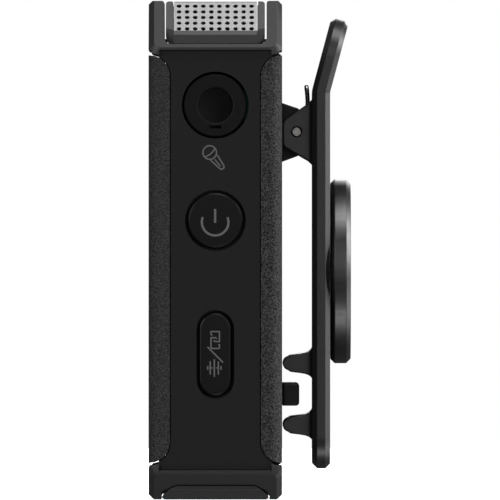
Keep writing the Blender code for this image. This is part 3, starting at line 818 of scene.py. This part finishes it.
def make_record_dot():
    """A plain red dot on the record button."""
    face = span("rec_button")[0].x
    dot = circle((0, middle("rec_button").z), 0.55, 32)
    shape = prism("X", face + PRINT_DEEP, face - PRINT_HIGH, dot)
    piece("record_dot", shape, looks["record_red"], "rec_key", bevel=0.0)


def make_jack_painted_shadow():
    """A black crescent inside the socket's bore, on its +Y side: a painted shadow of the bore's wall.
    """
    height = middle("jack_collar").z
    outer = arc((0, height), 1.79, -29, 29, 10)
    inner = arc((-0.35, height), 1.98, 24, -24, 10)
    # black crescent on the bore's +Y side: painted shadow of the bore's wall
    piece("jack_painted_shadow", prism("X", 9.0, 12.3, outer + inner), looks["black"], "body", bevel=0.0)


# Spring

WIRE = 0.225                    # radius of the wire
COIL_RADIUS = 0.84
COIL_TURNS = 3.5
COIL_STEPS = 24                 # in one turn
OUTER_COIL = 3.9                # from the middle to a coil's far end
INNER_COIL = 1.7                # and to its near end
LEG_Y = 7.69                    # where the outer legs lie on the bracket
LEG_TIP = 1.9                   # height of the outer legs' tips above the pin
LEG_STEP = 0.19                 # height between the points along them
LEG_LOW = 37.4                  # where the inner legs leave the coils
LEG_LENGTH = 3.5                # how far they climb before they turn to meet each other
LEG_TURN = 0.4                  # radius of that turn
LEG_RISE = 0.21                 # how steeply the inner legs start outwards
LEG_BOW = 0.0385                # how fast they bow back towards the body
PIN_LOW, PIN_HIGH = span("hinge_pin")
PIN_Y = (PIN_LOW.y + PIN_HIGH.y) / 2
PIN_Z = (PIN_LOW.z + PIN_HIGH.z) / 2
PIN_RADIUS = (PIN_HIGH.z - PIN_LOW.z) / 2
SLEEVE = 1.3                    # half the sleeve's length
SLEEVE_THICK = 0.11
SLEEVE_GAP = 0.002              # room between the sleeve and the pin


def sweep(points, radius, sides=12):
    """A round tube along points in millimetres."""
    points = [Vector(point) for point in points]
    up = Vector((0.3, 0.2, 1))              # any direction that the path never follows
    rings = []
    for i, point in enumerate(points):
        along = (points[min(i + 1, len(points) - 1)] - points[max(i - 1, 0)]).normalized()
        up = (up - along * up.dot(along)).normalized()
        side = along.cross(up)
        ring = [point + (up * cos(a) + side * sin(a)) * radius
                for a in (2 * pi * k / sides for k in range(sides))]
        rings.append([corner * MM for corner in ring])
    return loft(rings)


def make_spring():
    """The clip's double torsion spring, in halves that each twist between the bracket and the lever."""
    def leg_y(height):
        rise = height - PIN_Z
        return PIN_Y + COIL_RADIUS + LEG_RISE * rise - LEG_BOW * rise ** 2

    half = [(OUTER_COIL, LEG_Y, PIN_Z + LEG_TIP - step * LEG_STEP) for step in range(6)]
    steps = round(COIL_TURNS * COIL_STEPS)
    for step in range(steps + 1):
        angle = pi + 2 * pi * COIL_TURNS * step / steps
        x = OUTER_COIL + (INNER_COIL - OUTER_COIL) * step / steps
        half.append((x, PIN_Y + COIL_RADIUS * cos(angle), PIN_Z + COIL_RADIUS * sin(angle)))
    for step in range(12):
        height = LEG_LOW + LEG_LENGTH * step / 11
        half.append((INNER_COIL, leg_y(height), height))
    turn_z = LEG_LOW + LEG_LENGTH
    for x, z in arc((INNER_COIL - LEG_TURN, turn_z), LEG_TURN, 0, 90, 6)[1:]:
        half.append((x, leg_y(z), z))
    half.append((0, leg_y(turn_z + LEG_TURN), turn_z + LEG_TURN))
    for name, side in (("spring_left", -1), ("spring_right", 1)):
        item = thing(name, sweep([(side * x, y, z) for x, y, z in half], WIRE))
        item.data.shade_smooth()
        soften(item, looks["wire"], 0.0)
        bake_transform(item)
    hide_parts("clip_spring")


def make_sleeve():
    """The black sleeve on the hinge pin, between the spring's halves."""
    outside = circle((PIN_Y, PIN_Z), PIN_RADIUS + SLEEVE_THICK)
    inside = circle((PIN_Y, PIN_Z), PIN_RADIUS + SLEEVE_GAP)
    sleeve = thing("spring_sleeve", prism("X", -SLEEVE, SLEEVE, outside))
    carve(sleeve, "DIFFERENCE", prism("X", -SLEEVE - 0.7, SLEEVE + 0.7, inside))
    piece("spring_sleeve", sleeve, looks["black"], "body", bevel=0.02)


# Studio

PICTURE_CENTRE = at(0, 3.46, 24.92)
PICTURE_SIDE = 50.0 * MM        # what the picture's width shows, at the depth of NEAR_SIDE
NEAR_SIDE = 9.6 * MM            # x of that depth
LENS = 1700                     # focal length in millimetres, for a view from far away
AIM = (0, 0.003, 0.025)         # what the lamps point at
LAMPS = (                       # name, place and size in metres, power in watts
    ("top_light", (0.16, 0.08, 0.62), (0.34, 0.34), 1.67),
    ("back_light", (-0.06, 0.60, 0.26), (0.34, 0.40), 3.1),
    ("low_back_light", (-0.10, 0.60, -0.22), (0.34, 0.30), 0.8),
    ("front_light", (0.48, -0.60, 0.26), (0.4, 0.4), 2.3),
    ("under_light", (0.30, 0.08, -0.50), (0.34, 0.20), 0.72),
    ("side_light", (0.85, 0.33, 0.22), (0.5, 0.5), 1.4),
    ("far_light", (-0.90, 0.10, 0.30), (0.4, 0.4), 2.0),
    ("fill_light", (1.2, 0.0, 0.04), (0.08, 0.08), 1.0),
)
NO_GLINT = ("fill_light",)      # lamps that glossy surfaces don't mirror
SURROUND = 0.08                 # brightness of the soft surround
FLOOR = 0.6                     # half the floor's side in metres
FLOOR_GAP = 0.02                # room below the object


def camera():
    data = bpy.data.cameras.new("camera")
    data.lens = LENS
    data.clip_start = 0.1
    data.clip_end = 20
    item = bpy.data.objects.new("camera", data)
    bpy.context.scene.collection.objects.link(item)
    distance = PICTURE_SIDE * LENS / data.sensor_width
    item.location = PICTURE_CENTRE + Vector((NEAR_SIDE + distance, 0, 0))
    item.rotation_euler = (pi / 2, 0, pi / 2)
    bpy.context.scene.camera = item


def lamp(name, place, size, power):
    """A soft rectangular lamp that points at the object."""
    data = bpy.data.lights.new(name, "AREA")
    data.shape = "RECTANGLE"
    data.size, data.size_y = size
    data.energy = power
    item = bpy.data.objects.new(name, data)
    bpy.context.scene.collection.objects.link(item)
    item.location = place
    item.rotation_euler = (Vector(AIM) - Vector(place)).to_track_quat("-Z", "Y").to_euler()
    item.visible_camera = False
    item.visible_glossy = name not in NO_GLINT


def world():
    """White to the camera, and a soft dim surround for everything else."""
    made = bpy.data.worlds.new("studio")
    made.use_nodes = True
    tree = made.node_tree
    tree.nodes.clear()
    shaders = []
    for brightness in (SURROUND, 1.0):
        shader = tree.nodes.new("ShaderNodeBackground")
        shader.inputs["Color"].default_value = (1, 1, 1, 1)
        shader.inputs["Strength"].default_value = brightness
        shaders.append(shader)
    path = tree.nodes.new("ShaderNodeLightPath")
    mix = tree.nodes.new("ShaderNodeMixShader")
    out = tree.nodes.new("ShaderNodeOutputWorld")
    tree.links.new(path.outputs["Is Camera Ray"], mix.inputs["Fac"])
    tree.links.new(shaders[0].outputs[0], mix.inputs[1])
    tree.links.new(shaders[1].outputs[0], mix.inputs[2])
    tree.links.new(mix.outputs[0], out.inputs["Surface"])
    bpy.context.scene.world = made


def floor():
    """A white floor that lets the light from below through."""
    shape = bmesh.new()
    bmesh.ops.create_grid(shape, x_segments=1, y_segments=1, size=FLOOR)
    item = thing("floor", shape)
    item.location.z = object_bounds()[0].z - FLOOR_GAP * MM
    item.visible_diffuse = False
    item.visible_glossy = False
    item.visible_shadow = False
    material = bpy.data.materials.new("floor")
    material.use_nodes = True
    shader = material.node_tree.nodes["Principled BSDF"]
    shader.inputs["Base Color"].default_value = (0.9, 0.9, 0.9, 1)
    shader.inputs["Emission Color"].default_value = (1, 1, 1, 1)
    shader.inputs["Emission Strength"].default_value = 1.0
    item.data.materials.append(material)
    item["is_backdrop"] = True


dress()
make_upper_guard()
make_lower_guard()
make_head()
make_seals()
make_grille()
make_power_sign()
make_microphone_sign()
make_link_sign()
make_record_dot()
make_jack_painted_shadow()
make_spring()
make_sleeve()
camera()
world()
floor()
for settings in LAMPS:
    lamp(*settings)
bpy.context.scene.view_settings.view_transform = "Standard"
